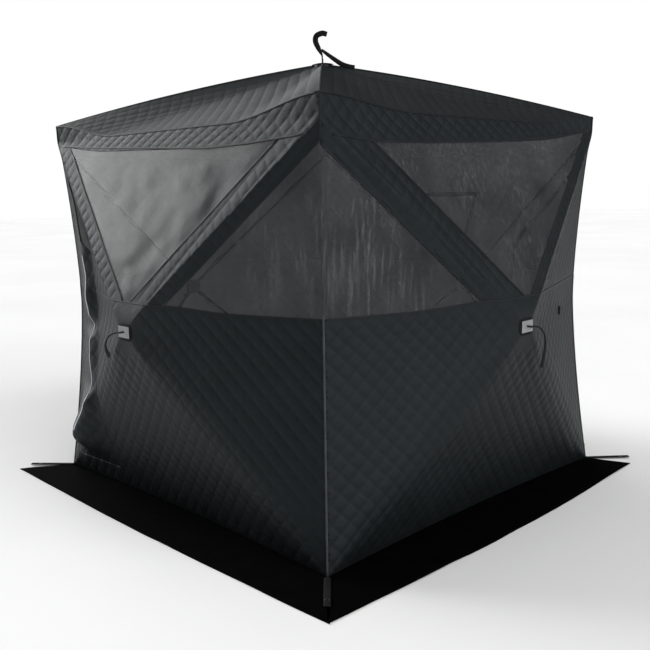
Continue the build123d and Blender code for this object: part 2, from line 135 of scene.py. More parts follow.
# Shape of the skin. On a wall, x runs to the right as seen from outside and z runs up.


def smooth(low, high, value):
    share = min(1.0, max(0.0, (value - low) / (high - low)))
    return share * share * (3 - 2 * share)


def corner_half(z):
    """Half the wall's width at a height: the corner edges are pulled in between ground and eave."""
    share = min(1.0, max(0.0, z / corner_height))
    bow = corner_bow * (1 - abs(2 * share - 1) ** corner_bow_power)
    push = cup_push * exp(-(((z - pole_height) / cup_push_height) ** 2))
    return half_base + (half_eave - half_base) * share - bow + push


pole_half = corner_half(pole_height)
top_lean = (hub_tip - pole_half) / (pole_height - hub_height)
pole_line = Vector((pole_half, pole_height - hub_height)).normalized()
base_line = Vector((half_base, -hub_height)).normalized()
base_length = Vector((half_base, -hub_height)).length


def top_reach(x, z):
    reach = pole_half + (pole_height - z) * top_lean
    if z <= pole_height:
        return reach
    edge = corner_half(z)
    return reach + (edge - reach) * smooth(eave_shoulder_share * half_eave, edge, abs(x))


def side_reach(x, z):
    """Straight lines from the hub to the bowed corner edge."""
    run = 1.0
    for _ in range(8):
        run = corner_half(hub_height + run * (z - hub_height)) / abs(x)
    edge = corner_half(hub_height + run * (z - hub_height))
    return hub_tip + (edge - hub_tip) / run


def bottom_reach(x, z):
    """Straight lines from the hub to the ground edge, which is drawn in between the corners."""
    run = hub_height / (hub_height - z)
    ground_x = min(1.0, abs(run * x) / half_base)
    edge = half_base - base_bow * (1 - ground_x * ground_x)
    return hub_tip + (edge - hub_tip) / run


def sharp_reach(x, z):
    """Reach of the skin with sharp folds over the poles."""
    if (z - hub_height) * pole_half >= abs(x) * (pole_height - hub_height):
        return top_reach(x, z)
    if (hub_height - z) * half_base >= abs(x) * hub_height:
        return bottom_reach(x, z)
    return side_reach(x, z)


def wall_reach(x, z):
    """How far the wall's outer face stands out from the middle of the hut."""
    along = abs(x) * base_line.x + (z - hub_height) * base_line.y
    off = (z - hub_height) * base_line.x - abs(x) * base_line.y
    soft = fold_softness * smooth(0.05, 0.3, along) * smooth(0.0, 0.25, base_length - along)
    if soft > 0 and abs(off) < 3 * soft:
        steps = (-1.5, -1.0, -0.5, 0.0, 0.5, 1.0, 1.5)
        spots = [
            (max(abs(x) - s * soft * base_line.y, 1e-3), max(z + s * soft * base_line.x, 0.0)) for s in steps
        ]
        reach = sum(sharp_reach(*spot) for spot in spots) / len(spots)
    else:
        reach = sharp_reach(x, z)
    over = reach - hub_flat
    return (reach + hub_flat - sqrt(over * over + hub_softness * hub_softness)) / 2


def ripple(turn, x, z):
    """Slow waves of the tensioned cloth, none at the corners, the ground and the hub."""
    edge = 1 - (abs(x) / corner_half(z)) ** 4
    level = smooth(0.0, 0.2, z) * smooth(0.0, 0.2, corner_height - z)
    off_hub = smooth(0.1, 0.3, sqrt(x * x + (z - hub_height) ** 2))
    wave = noise.noise(Vector((x / ripple_size, z / ripple_size, turn)))
    return ripple_height * edge * level * off_hub * wave


def turned(turn, point):
    return Matrix.Rotation(radians(turn), 3, "Z") @ Vector(point)


def wall_point(turn, x, z, lift=0.0):
    toward_window = {0: x, 90: -x}.get(turn, 0.0)
    z -= sill_dip * smooth(0.2, 0.5, toward_window) * exp(-(((z - seam_height) / sill_dip_height) ** 2))
    return turned(turn, (x, -(wall_reach(x, z) + ripple(turn, x, z) + lift), z))


def wall_normal(turn, x, z):
    step = 0.004
    across = (wall_reach(x + step, z) - wall_reach(x - step, z)) / (2 * step)
    up = (wall_reach(x, z + step) - wall_reach(x, z - step)) / (2 * step)
    return turned(turn, (-across, -1, -up)).normalized()


def eave_height(wall, x):
    share = min(1.0, abs(x) / half_eave)
    return corner_height - eave_sags[wall] * (1 - smooth(eave_shoulder_share, 1.0, share))


def roof_point(wall, x, y, lift=0.0):
    """A point of one roof panel from its flat pattern, a triangle with its tip at the hub."""
    turn = WALLS[wall]
    down = min(1.0, -y / half_eave)
    eave_x = half_eave * max(-1.0, min(1.0, x / max(-y, 1e-6)))
    eave_z = eave_height(wall, eave_x)
    reach = wall_reach(eave_x, eave_z)
    ridge = (abs(eave_x) / half_eave) ** 6
    crown = ridge * ridge_crown - (1 - ridge) * panel_sag
    z = apex_height - (apex_height - eave_z) * down + crown * 4 * down * (1 - down)
    return turned(turn, (x * reach / half_eave, y * reach / half_eave, z + lift))


# Flat patterns, cut along straight lines. A cut is a point and the direction that is kept.


def up_to(z):
    return (0.0, z), (0.0, -1.0)


def from_height(z):
    return (0.0, z), (0.0, 1.0)


def left_of(x):
    return (x, 0.0), (-1.0, 0.0)


def right_of(x):
    return (x, 0.0), (1.0, 0.0)


def along_pole(side, offset, keep_above):
    """Cut parallel to an upper pole line, offset upwards from it. Side is -1 for left, 1 for right."""
    normal = Vector((-side * pole_line.y, pole_line.x))
    point = Vector((0.0, hub_height)) + normal * offset
    return tuple(point), tuple(normal if keep_above else -normal)


def along_base_pole(side):
    return (0.0, hub_height), (side * -base_line.y, base_line.x)


def window_edge(wall):
    """The stretches of a window's upper edge: left end, right end and the cut that keeps what is below."""
    ends = window_tops[wall]
    return [(a[0], b[0], (a, (b[1] - a[1], a[0] - b[0]))) for a, b in zip(ends, ends[1:])]


def below_edge(wall, cuts):
    """Regions that are bounded by those cuts and lie below the window's upper edge."""
    return [cuts + [right_of(left), left_of(right), edge] for left, right, edge in window_edge(wall)]


def reversed_cut(cut):
    return cut[0], (-cut[1][0], -cut[1][1])


def depth_in(cut, x, z):
    point, keep = cut
    return ((x - point[0]) * keep[0] + (z - point[1]) * keep[1]) / sqrt(keep[0] ** 2 + keep[1] ** 2)


def slice_flat(bm, cut, clear=True):
    geometry = bm.verts[:] + bm.edges[:] + bm.faces[:]
    point, keep = cut
    bmesh.ops.bisect_plane(
        bm,
        geom=geometry,
        dist=1e-6,
        plane_co=(point[0], 0, point[1]),
        plane_no=(keep[0], 0, keep[1]),
        clear_inner=clear,
    )


def flat_sheet(first, second, to_flat, inside):
    """Flat mesh of the quads between two families of grid lines whose middles lie inside."""
    p, q = np.meshgrid(first, second, indexing="ij")
    x, z = to_flat(p, q)
    number = np.arange(p.size).reshape(p.shape)
    corners = (number[:-1, :-1], number[1:, :-1], number[1:, 1:], number[:-1, 1:])
    quads = np.stack(corners, -1).reshape(-1, 4)
    x, z = x.ravel(), z.ravel()
    quads = quads[inside(x[quads].mean(1), z[quads].mean(1))]
    used, quads = np.unique(quads, return_inverse=True)
    points = np.stack((x[used], np.zeros(used.size), z[used]), 1)
    mesh = bpy.data.meshes.new("flat_pattern")
    mesh.from_pydata(points.tolist(), [], quads.reshape(-1, 4).tolist())
    bm = bmesh.new()
    bm.from_mesh(mesh)
    bpy.data.meshes.remove(mesh)
    return bm


def quilt_sheet(half_width, low, high):
    """Lattice of quilting squares that stand on their corners."""

    def to_flat(p, q):
        return (p - q) / sqrt(2), (p + q) / sqrt(2)

    def inside(x, z):
        return (abs(x) < half_width + cell) & (z > low - cell) & (z < high + cell)

    ends = half_width + max(abs(low), abs(high))
    count = ceil(ends / sqrt(2) / cell) + 1
    lines = np.add.outer(np.arange(-count, count), np.array(cell_steps)).ravel() * cell
    return flat_sheet(lines, lines, to_flat, inside)


def film_sheet(left, right, low, high):
    columns = np.linspace(left, right, ceil((right - left) / film_step) + 1)
    rows = np.linspace(low, high, ceil((high - low) / film_step) + 1)
    return flat_sheet(columns, rows, lambda p, q: (p, q), lambda x, z: np.full(x.shape, True))


def fit_to_corners(bm):
    """Cuts a wall pattern at the corner edges and draws it in to their bow."""
    slice_flat(bm, right_of(-half_base))
    slice_flat(bm, left_of(half_base))
    for vert in bm.verts:
        vert.co.x *= corner_half(vert.co.z) / half_base


def cut_pattern(bm, cuts, creases=()):
    for cut in cuts:
        slice_flat(bm, cut)
    for crease in creases:
        slice_flat(bm, crease, clear=False)
    bmesh.ops.dissolve_degenerate(bm, dist=1e-5, edges=bm.edges[:])
    return bm


def wall_pattern(low, high, cuts, creases=()):
    """Quilting pattern of a wall between two heights, cut to its edges."""
    bm = quilt_sheet(half_base, low, high)
    fit_to_corners(bm)
    return cut_pattern(bm, cuts, creases)


def pillow(x, z):
    """Height of the quilting over its sewn lines, from 0 to 1."""
    p, q = (x + z) / sqrt(2), (z - x) / sqrt(2)
    return sqrt(abs(sin(pi * p / cell) * sin(pi * q / cell)))


def quilt_lift(x, z, seams):
    """Height of the quilting over the sewn lines, fading to a flat margin at the seams."""
    straight_x = x * half_base / corner_half(z)
    nearest = min([abs(depth_in(seam, x, z)) for seam in seams] + [half_base - abs(straight_x)])
    off_hub = smooth(0.08, 0.13, sqrt(x * x + (z - hub_height) ** 2))
    return quilt_depth * (pillow(straight_x, z) - quilt_level) * smooth(0.0, quilt_fade, nearest) * off_hub


# Turning patterns into pieces


def set_smooth(mesh):
    mesh.polygons.foreach_set("use_smooth", [True] * len(mesh.polygons))
    mesh.update()


def smooth_piece(name, bm):
    """Object from a finished mesh."""
    mesh = bpy.data.meshes.new(name)
    bm.to_mesh(mesh)
    bm.free()
    set_smooth(mesh)
    piece = bpy.data.objects.new(name, mesh)
    bpy.context.collection.objects.link(piece)
    return piece


def joined(patterns):
    whole = bmesh.new()
    for bm in patterns:
        mesh = bpy.data.meshes.new("part_pattern")
        bm.to_mesh(mesh)
        bm.free()
        whole.from_mesh(mesh)
        bpy.data.meshes.remove(mesh)
    bmesh.ops.remove_doubles(whole, verts=whole.verts[:], dist=2e-5)
    return whole


def shaped(name, bm, place, quilted=True):
    """Object from a flat pattern, with the pattern kept as its UV map in metres."""
    layer = bm.loops.layers.uv.new("pattern")
    for face in bm.faces:
        for loop in face.loops:
            x, z = loop.vert.co.x, loop.vert.co.z
            loop[layer].uv = ((x + z) / sqrt(2), (z - x) / sqrt(2)) if quilted else (x, z)
    for vert in bm.verts:
        vert.co = place(vert.co.x, vert.co.z)
    return smooth_piece(name, bm)


def thicken(piece, thickness, outside=None, inside=None):
    """Gives a sheet its thickness, inwards from the outer face, and its two faces their materials."""
    if inside:
        piece.data.materials.append(outside)
        piece.data.materials.append(inside)
    modifier = piece.modifiers.new("thickness", "SOLIDIFY")
    modifier.thickness = thickness
    modifier.offset = -1
    modifier.use_quality_normals = True
    modifier.material_offset = 1 if inside else 0
    bpy.context.view_layer.update()
    solid = bpy.data.meshes.new_from_object(piece.evaluated_get(bpy.context.evaluated_depsgraph_get()))
    piece.modifiers.clear()
    thin = piece.data
    piece.data = solid
    bpy.data.meshes.remove(thin)
    solid.name = piece.name
    set_smooth(solid)
    return piece


def dressed(piece, body, slot, material, *nodes):
    """Finishes a piece that moves with a body; a piece of the door marked as bending at the sewn edge is
    only baked in place, with no body.
    """
    if material:
        piece.data.materials.clear()
        piece.data.materials.append(material)
    if body == "bending door":
        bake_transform(piece)
    else:
        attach(piece, body)
    if nodes:
        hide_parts(*nodes)
    return piece


def declared(piece, closed=True, strip=None):
    """Works out a sheet's width at the flat size of its cloth, or as straight strips of a given length, and
    returns the sheet unchanged.
    """
    corners = [vert.co for vert in piece.data.vertices]
    sides = sorted(max(c[i] for c in corners) - min(c[i] for c in corners) for i in range(3))
    area = sum(face.area for face in piece.data.polygons) / (2 if closed else 1)
    width, length = sides[1], strip or sides[2]
    if strip or area > width * length:
        width = area / length
    return piece


def sewn_quilt(piece, node, strip=None):
    """Finishes a quilted sheet of the shell that stands for a CAD node."""
    dressed(piece, "shell", "quilted_fabric", None, node)
    return declared(piece, strip=strip)


# Strips that follow the skin


def strip_mesh(name, runs, width, thickness):
    """Flat closed strips. A run is a list of (point, normal) or (point, normal, share of width)."""
    bm = bmesh.new()
    layer = bm.loops.layers.uv.new("pattern")
    profile = ((-0.5, 0.0), (-0.46, 0.8), (-0.2, 1.0), (0.2, 1.0), (0.46, 0.8), (0.5, 0.0), (0.0, -0.05))
    for run in runs:
        rings = []
        length = 0.0
        for i, (point, normal, *shares) in enumerate(run):
            wide = width * (shares[0] if shares else 1.0)
            before, after = run[max(i - 1, 0)][0], run[min(i + 1, len(run) - 1)][0]
            across = (after - before).cross(normal).normalized()
            if i:
                length += (point - run[i - 1][0]).length
            spots = [point + across * (a * wide) + normal * (b * thickness) for a, b in profile]
            rings.append(([bm.verts.new(spot) for spot in spots], length))
        for (ring, start), (following, end) in zip(rings, rings[1:]):
            for j in range(len(profile)):
                k = (j + 1) % len(profile)
                face = bm.faces.new((ring[j], following[j], following[k], ring[k]))
                ends = ((start, j), (end, j), (end, k), (start, k))
                for loop, (along, side) in zip(face.loops, ends):
                    loop[layer].uv = (along, profile[side][0] * width)
        bm.faces.new(rings[0][0])
        bm.faces.new(rings[-1][0][::-1])
    bmesh.ops.recalc_face_normals(bm, faces=bm.faces[:])
    return smooth_piece(name, bm)


def wall_run(turn, start, end, step=0.03, point_at=wall_point):
    """Points with normals along a straight line of a wall's flat pattern."""
    start, end = Vector(start), Vector(end)
    count = max(2, ceil((end - start).length / step) + 1)
    run = []
    for i in range(count):
        x, z = start.lerp(end, i / (count - 1))
        run.append((point_at(turn, x, z, tape_lift), wall_normal(turn, x, z)))
    return run


def pole_point(side, height, offset):
    """Where a line parallel to an upper pole line, offset upwards from it, reaches a height."""
    point, normal = along_pole(side, offset, True)
    x = point[0] - (height - point[1]) * normal[1] / normal[0]
    return x, height


def corner_meeting(offset):
    """Height at which a line parallel to a pole line, offset upwards from it, reaches the corner edge."""
    height = pole_height
    for _ in range(12):
        point, normal = along_pole(1, offset, True)
        height = point[1] - (corner_half(height) - point[0]) * normal[0] / normal[1]
    return height


def smooth_path(points, count):
    """Points on a smooth curve through the given ones."""
    out = []
    last = len(points) - 1
    for i in range(count + 1):
        place = min(i / count * last, last - 1e-9)
        k = floor(place)
        t = place - k
        p0, p1 = points[max(k - 1, 0)], points[k]
        p2, p3 = points[k + 1], points[min(k + 2, last)]
        bend = 2 * p0 - 5 * p1 + 4 * p2 - p3
        twist = 3 * p1 - p0 - 3 * p2 + p3
        out.append(0.5 * (2 * p1 + (p2 - p0) * t + bend * t**2 + twist * t**3))
    return out


# Materials


class Shader:
    """Small helper for building a node material."""

    def __init__(self, name):
        self.material = bpy.data.materials.new(name)
        self.material.use_nodes = True
        self.tree = self.material.node_tree
        self.surface = self.tree.nodes["Principled BSDF"]

    def feed(self, socket, value):
        """Gives a socket a number, a colour or the output of another node."""
        if isinstance(value, bpy.types.NodeSocket):
            self.tree.links.new(value, socket)
        else:
            socket.default_value = (*value, 1) if socket.type == "RGBA" else value

    def set(self, **values):
        """Feeds sockets of the surface, named with underscores."""
        for name, value in values.items():
            self.feed(self.surface.inputs[name.replace("_", " ")], value)

    def make(self, kind, output, inputs, **settings):
        """An output of a new node."""
        node = self.tree.nodes.new(kind)
        for name, value in settings.items():
            setattr(node, name, value)
        for key, value in inputs.items():
            self.feed(node.inputs[key], value)
        return node.outputs[output]

    def math(self, operation, *values):
        return self.make("ShaderNodeMath", 0, dict(enumerate(values)), operation=operation)

    def place(self):
        return self.make("ShaderNodeTexCoord", "Object", {})

    def split(self, vector):
        node = self.tree.nodes.new("ShaderNodeSeparateXYZ")
        self.feed(node.inputs[0], vector)
        return tuple(node.outputs)

    def pattern(self):
        """The two directions of the piece's flat pattern, in metres."""
        return self.split(self.make("ShaderNodeUVMap", "UV", {}, uv_map="pattern"))[:2]

    def noise(self, scale, detail=4.0, stretch=(1, 1, 1)):
        place = self.make("ShaderNodeMapping", "Vector", {"Vector": self.place(), "Scale": stretch})
        return self.make("ShaderNodeTexNoise", "Fac", {"Vector": place, "Scale": scale, "Detail": detail})

    def ramp(self, value, *stops):
        node = self.tree.nodes.new("ShaderNodeValToRGB")
        for element, (place, colour) in zip(node.color_ramp.elements, stops):
            element.position = place
            element.color = (*colour, 1)
        self.feed(node.inputs["Fac"], value)
        return node.outputs["Color"]

    def blend(self, factor, first, second):
        return self.make("ShaderNodeMix", 2, {0: factor, 6: first, 7: second}, data_type="RGBA")

    def between(self, value, low, high):
        return self.make("ShaderNodeMapRange", "Result", {"Value": value, "To Min": low, "To Max": high})

    def bump(self, height, strength, distance):
        inputs = {"Height": height, "Strength": strength, "Distance": distance}
        self.set(Normal=self.make("ShaderNodeBump", "Normal", inputs))

    def weave(self, u, v, pitch):
        """Plain weave of a cloth, from 0 to 1."""
        warp = self.math("SINE", self.math("MULTIPLY", u, 2 * pi / pitch))
        weft = self.math("SINE", self.math("MULTIPLY", v, 2 * pi / pitch))
        return self.math("MULTIPLY_ADD", self.math("MULTIPLY", warp, weft), 0.5, 0.5)


def line_distance(shader, value, pitch):
    """Distance of a pattern coordinate to the nearest of a row of lines, in metres."""
    return shader.math("PINGPONG", value, pitch / 2)


def quilted_cloth(name, dark, light, stitch):
    """Coated polyester, quilted in squares with a lock stitch, with painted shade that darkens the cloth
    along the sewn grooves.
    """
    shader = Shader(name)
    u, v = shader.pattern()
    near_u, near_v = line_distance(shader, u, cell), line_distance(shader, v, cell)
    groove = shader.math("MINIMUM", near_u, near_v)
    dash_u = shader.math("GREATER_THAN", line_distance(shader, v, 0.004), 0.0007)
    dash_v = shader.math("GREATER_THAN", line_distance(shader, u, 0.004), 0.0007)
    thread_u = shader.math("MULTIPLY", shader.math("LESS_THAN", near_u, 0.0006), dash_u)
    thread_v = shader.math("MULTIPLY", shader.math("LESS_THAN", near_v, 0.0006), dash_v)
    thread = shader.math("MAXIMUM", thread_u, thread_v)
    mottled = shader.noise(7.0, 6.0)
    cloth = shader.ramp(mottled, (0.3, dark), (0.7, light))
    # painted shade: the cloth is darkened towards the sewn grooves, over 6 mm on each side
    painted_groove_shade = shader.math("SUBTRACT", 1.0, shader.math("DIVIDE", groove, 0.006))
    painted_groove_shade = shader.math("MAXIMUM", painted_groove_shade, 0.0)
    shaded = shader.blend(shader.math("MULTIPLY", painted_groove_shade, 0.6), cloth, tuple(c * 0.4 for c in dark))
    shader.set(Base_Color=shader.blend(thread, shaded, stitch))
    weave = shader.weave(u, v, 0.0016)
    creases = shader.noise(55.0, 3.0)
    height = shader.math("MULTIPLY_ADD", creases, 1.6, shader.math("MULTIPLY", weave, 0.35))
    height = shader.math("MULTIPLY_ADD", thread, 0.6, height)
    shader.bump(height, 0.35, 0.0012)
    shader.set(Roughness=shader.between(mottled, 0.46, 0.56))
    shader.set(Specular_IOR_Level=0.18, Specular_Tint=(0.80, 0.94, 1.0))
    return shader.material


def plain_cloth(name, dark, light, pitch=0.0014, rough=(0.7, 0.9), specular=0.15):
    """Woven tape, webbing or skirt cloth."""
    shader = Shader(name)
    u, v = shader.pattern()
    mottled = shader.noise(16.0, 5.0)
    shader.set(Base_Color=shader.ramp(mottled, (0.3, dark), (0.7, light)))
    weave = shader.weave(u, v, pitch)
    height = shader.math("MULTIPLY_ADD", shader.noise(60.0, 3.0), 1.2, weave)
    shader.bump(height, 0.3, 0.0008)
    shader.set(Roughness=shader.between(mottled, *rough), Specular_IOR_Level=specular)
    return shader.material


def solid_surface(name, dark, light, grain, rough, specular=0.4, metallic=0.0):
    """Moulded plastic, drawn rod or metal: a fine grain and slight changes of colour."""
    shader = Shader(name)
    mottled = shader.noise(grain, 6.0)
    shader.set(Base_Color=shader.ramp(mottled, (0.35, dark), (0.65, light)))
    shader.bump(shader.noise(grain * 12, 2.0), 0.15, 0.0004)
    shader.set(Roughness=shader.between(mottled, *rough))
    shader.set(Specular_IOR_Level=specular, Metallic=metallic)
    return shader.material


def clear_film(name):
    """Smoky window film with a faint haze and upright creases, and painted glints of the creases as bright
    streaks that show in patches.
    """
    shader = Shader(name)
    haze = shader.noise(5.0, 6.0)
    smoke = shader.ramp(haze, (0.3, (0.040, 0.044, 0.046)), (0.7, (0.072, 0.077, 0.080)))
    # painted glints: thin bright upright streaks, shown in patches, lighten the film and make it more opaque
    glint_streaks = shader.ramp(shader.noise(110.0, 2.0, (1, 1, 0.0055)), (0.48, (0, 0, 0)), (0.72, (1, 1, 1)))
    patches = shader.ramp(shader.noise(4.0, 3.0, (1, 1, 0.6)), (0.46, (0.1, 0.1, 0.1)), (0.68, (1, 1, 1)))
    painted_glint = shader.math("MULTIPLY", glint_streaks, patches)
    shader.set(Base_Color=shader.blend(painted_glint, smoke, (0.13, 0.138, 0.142)))
    creases = shader.noise(26.0, 4.0, (1, 1, 0.35))
    shader.bump(creases, 0.12, 0.003)
    shader.set(Roughness=shader.between(haze, 0.12, 0.24), Specular_IOR_Level=0.12)
    shader.set(Alpha=shader.math("MULTIPLY_ADD", painted_glint, 0.12, shader.between(haze, 0.42, 0.56)))
    return shader.material


def reflective_plate(name):
    """Grey retroreflective tape with a fine diamond grid."""
    shader = Shader(name)
    x, y, z = shader.split(shader.place())
    along = shader.math("ADD", x, y)
    first = line_distance(shader, shader.math("ADD", along, z), 0.006)
    second = line_distance(shader, shader.math("SUBTRACT", along, z), 0.006)
    grid = shader.math("LESS_THAN", shader.math("MINIMUM", first, second), 0.0005)
    worn = shader.noise(30.0, 5.0)
    plate = shader.ramp(worn, (0.3, (0.20, 0.21, 0.215)), (0.75, (0.30, 0.31, 0.315)))
    shader.set(Base_Color=shader.blend(grid, plate, (0.16, 0.165, 0.17)))
    shader.bump(shader.math("ADD", grid, worn), 0.2, 0.0004)
    shader.set(Roughness=shader.between(worn, 0.35, 0.5))
    return shader.material


quilt_material = quilted_cloth(
    "quilted_cloth", (0.0060, 0.0078, 0.0084), (0.0088, 0.0110, 0.0118), (0.016, 0.019, 0.020)
)
lining_material = plain_cloth("grey_lining", (0.38, 0.385, 0.39), (0.46, 0.465, 0.47))
tape_material = plain_cloth(
    "binding_tape", (0.007, 0.0088, 0.0094), (0.010, 0.0122, 0.013), rough=(0.46, 0.56), specular=0.18
)
piping_material = plain_cloth("light_piping", (0.040, 0.044, 0.046), (0.060, 0.064, 0.066))
skirt_material = plain_cloth(
    "skirt_cloth", (0.0006, 0.0006, 0.0007), (0.0016, 0.0016, 0.0018), 0.002, (0.85, 0.95), 0.02
)
patch_material = plain_cloth("patch_cloth", (0.005, 0.0055, 0.006), (0.009, 0.0095, 0.010))
webbing_material = plain_cloth("webbing", (0.005, 0.005, 0.0055), (0.010, 0.010, 0.0105), 0.0025)
white_zip_material = plain_cloth("white_zip_tape", (0.50, 0.54, 0.57), (0.66, 0.70, 0.73), 0.002)
black_zip_material = plain_cloth("black_zip_tape", (0.004, 0.004, 0.0045), (0.009, 0.009, 0.0095), 0.002)
film_material = clear_film("clear_film")
plastic_material = solid_surface(
    "moulded_plastic", (0.01, 0.01, 0.01), (0.018, 0.018, 0.018), 40.0, (0.4, 0.55)
)
rod_material = solid_surface(
    "fibreglass_rod", (0.012, 0.012, 0.012), (0.028, 0.028, 0.027), 25.0, (0.3, 0.45)
)
metal_material = solid_surface(
    "eyelet_metal", (0.3, 0.3, 0.29), (0.42, 0.42, 0.41), 60.0, (0.3, 0.45), specular=0.5, metallic=1.0
)
plate_material = reflective_plate("reflective_tape")


# Walls

pole_creases = [along_pole(side, 0.0, True) for side in (-1, 1)]
base_creases = [along_base_pole(side) for side in (-1, 1)]
doorway = [right_of(door_sewn_x), left_of(door_zip_x), from_height(door_sill)]


def wall_quilt(name, turn, regions, seams, low, high):
    """Quilted piece of a wall from regions of its pattern, each a list of cuts."""
    patterns = [wall_pattern(low, high, cuts, pole_creases + base_creases) for cuts in regions]

    def place(x, z):
        return wall_point(turn, x, z, quilt_lift(x, z, seams))

    return thicken(shaped(name, joined(patterns), place), quilt_thickness, quilt_material, lining_material)


def add_lower_wall(wall):
    edges = [from_height(ground_gap), up_to(seam_height)]
    if wall == "front":
        sewn, zipped, sill = (reversed_cut(cut) for cut in doorway)
        regions = [edges + [sewn], edges + [zipped], edges + doorway[:2] + [sill]]
        seams = edges + doorway
    else:
        regions, seams = [edges], edges
    piece = wall_quilt(f"{wall}_lower_quilt", WALLS[wall], regions, seams, 0.0, seam_height)
    sewn_quilt(piece, f"{wall}_lower_wall")


def add_bands(wall):
    """Sleeves along the upper pole lines of a wall with a window."""
    regions, seams = [], [from_height(seam_height)]
    stretches = window_edge(wall)
    for side, top in ((-1, stretches[0][2]), (1, stretches[-1][2])):
        above_width, below_width = sleeve_widths[wall][side]
        upper_edge = along_pole(side, above_width, False)
        lower_edge = along_pole(side, -below_width, True)
        seams += [upper_edge, lower_edge, top]
        facing = left_of(0.0) if side < 0 else right_of(0.0)
        regions.append([facing, from_height(seam_height), top, along_pole(side, 0.0, True), upper_edge])
        regions.append([facing, from_height(seam_height), along_pole(side, 0.0, False), lower_edge])
    piece = wall_quilt(f"{wall}_band_quilt", WALLS[wall], regions, seams, seam_height, corner_height)
    low, high = (Vector(pole_point(1, height, 0.0)) for height in (seam_height, corner_height))
    sewn_quilt(piece, f"{wall}_pole_bands", strip=(high - low).length)


def add_upper_panel(wall):
    """Quilted sheet above the hub of a wall without a window."""
    edges = [from_height(seam_height), *pole_creases]
    regions = below_edge(wall, edges)
    seams = [edges[0], window_edge(wall)[0][2]]
    piece = wall_quilt(f"{wall}_upper_quilt", WALLS[wall], regions, seams, seam_height, panel_top)
    sewn_quilt(piece, f"{wall}_upper_panel")


def add_valance(wall):
    """Strip from the window up to the sagging eave, reaching the corners over the pole ends."""
    turn = WALLS[wall]
    lower_edges = [reversed_cut(edge) for _, _, edge in window_edge(wall)]
    low = min(z for _, z in window_tops[wall])
    bm = wall_pattern(low, corner_height, [*lower_edges, up_to(corner_height), *pole_creases])

    def drawn_down(x, z):
        """The pattern's straight top edge follows the eave."""
        share = (z - low) / (corner_height - low)
        middle = 1 - smooth(eave_shoulder_share, 1.0, abs(x) / half_eave)
        return z - share * eave_sags[wall] * middle

    def place(x, z):
        lift = quilt_lift(x, z, lower_edges) if abs(x) < pole_half else 0.0
        return wall_point(turn, x, drawn_down(x, z), lift)

    piece = shaped(f"{wall}_valance_quilt", bm, place)
    thicken(piece, quilt_thickness, quilt_material, lining_material)
    sewn_quilt(piece, f"{wall}_valance")


def film_wave(turn, x, z, edges):
    """Soft creases of the film: vertical near the corners, slanting in the middle."""
    nearest = min(abs(depth_in(edge, x, z)) for edge in edges)
    upright = noise.noise(Vector((x * 42, z * 3.2, turn + 7.5)))
    slanting = noise.noise(Vector((x * 9 + z * 6, z * 11 - x * 5, turn + 2.5)))
    corner = smooth(0.45, 0.85, abs(x))
    return smooth(0.0, 0.05, nearest) * (film_crease * corner * upright + film_crease * slanting)


def add_window(wall):
    turn = WALLS[wall]
    edges = [from_height(seam_height)]
    edges += [along_pole(side, sleeve_widths[wall][side][0], True) for side in (-1, 1)]
    high = max(z for _, z in window_tops[wall])
    pieces = below_edge(wall, edges)
    patterns = [cut_pattern(film_sheet(-pole_half, pole_half, seam_height, high), cuts) for cuts in pieces]
    edges += [edge for _, _, edge in window_edge(wall)]

    def place(x, z):
        return wall_point(turn, x, z, film_wave(turn, x, z, edges) - film_inset)

    piece = shaped(f"{wall}_window_film", joined(patterns), place, quilted=False)
    dressed(piece, "shell", "clear_film", film_material, f"{wall}_window")
    declared(piece, closed=False)


def merged(name, halves, weld=0.0):
    """One corner sheet from its parts on two walls."""
    bm = bmesh.new()
    for half in halves:
        bm.from_mesh(half.data)
        bpy.data.objects.remove(half)
    if weld:
        bmesh.ops.remove_doubles(bm, verts=bm.verts[:], dist=weld)
    return smooth_piece(name, bm)


def corner_film_half(wall, side):
    """One wall's part of the corner window, as a mesh object to be joined."""
    turn = WALLS[wall]
    below_width = sleeve_widths[wall][side][1]
    edges = [from_height(seam_height), along_pole(side, -below_width, False)]
    left, right = (0.0, half_base) if side > 0 else (-half_base, 0.0)
    bm = film_sheet(left, right, seam_height, corner_meeting(-below_width) + 0.03)
    for vert in bm.verts:
        vert.co.x *= corner_half(vert.co.z) / half_base
    cut_pattern(bm, edges)

    def place(x, z):
        return wall_point(turn, x, z, film_wave(0 if side > 0 else 90, abs(x), z, edges) - film_inset)

    return shaped(f"{wall}_corner_film_half", bm, place, quilted=False)


def add_corner_window(wall):
    following = NEXT_WALL[wall]
    halves = [corner_film_half(wall, 1), corner_film_half(following, -1)]
    piece = merged(f"{wall}_{following}_corner_film", halves, weld=5e-4)
    dressed(piece, "shell", "clear_film", film_material, f"{wall}_{following}_corner_window")
    declared(piece, closed=False)


def side_quilt(wall, side):
    """One wall's part of a quilted corner panel, as a mesh object to be joined."""
    width = sleeve_widths[wall][side][1] if wall in WINDOW_WALLS else 0.0
    facing = left_of(0.0) if side < 0 else right_of(0.0)
    edges = [from_height(seam_height), along_pole(side, -width, False)]
    regions = [[facing, *edges]]
    if wall == "front":
        sewn, zipped = doorway[:2]
        regions = [[facing, *edges, reversed_cut(sewn)], [facing, *edges, reversed_cut(zipped)]]
        edges = edges + [sewn, zipped]
    return wall_quilt(f"{wall}_side_quilt", WALLS[wall], regions, edges, seam_height, corner_height)


def add_corner_panel(wall):
    following = NEXT_WALL[wall]
    halves = [side_quilt(wall, 1), side_quilt(following, -1)]
    piece = merged(f"{wall}_{following}_corner_quilt", halves)
    for material in (quilt_material, lining_material):
        piece.data.materials.append(material)
    sewn_quilt(piece, f"{wall}_{following}_corner_panel")


